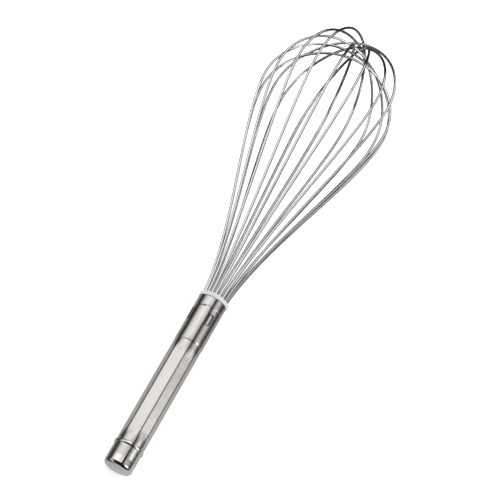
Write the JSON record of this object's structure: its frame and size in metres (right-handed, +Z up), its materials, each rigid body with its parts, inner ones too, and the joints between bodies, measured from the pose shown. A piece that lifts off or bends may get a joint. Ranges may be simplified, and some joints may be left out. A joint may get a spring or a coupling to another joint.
{
  "type": "balloon whisk",
  "caption": "Professional balloon whisk: crossed spring wire loops in a white collar, a brushed steel tube handle with grip flats, a polished joint ring and a closed end cap, lying at rest.",
  "frame": {"origin": "bottom centre of the bounding box of the whisk as it lies at rest", "axes": "+Z up from the table, +X along the whisk from the end cap towards the balloon, +Y completing the right-handed set"},
  "size_m": [0.3874, 0.104, 0.1029],
  "materials": {
    "brushed_steel": "brushed around the handle",
    "polished_steel": "polished",
    "wire_steel": "polished spring wire",
    "white_nylon": "smooth moulded",
    "core_nylon": "moulded",
    "potting_resin": "cast",
    "seal_rubber": "matt"
  },
  "bodies": {
    "root": {"handle_tube": "brushed_steel", "end_cap": "polished_steel", "joint_ring": "polished_steel", "joint_sleeve": "brushed_steel", "tube_seal": "seal_rubber", "cap_seal": "seal_rubber", "wire_collar": "white_nylon", "wire_core": "core_nylon", "resin_fill": "potting_resin", "wire_loop_1": "wire_steel", "wire_loop_2": "wire_steel", "wire_loop_3": "wire_steel", "wire_loop_4": "wire_steel", "wire_loop_5": "wire_steel", "wire_loop_6": "wire_steel", "wire_loop_7": "wire_steel", "wire_loop_8": "wire_steel", "wire_loop_9": "wire_steel"}
  },
  "joints": []
}
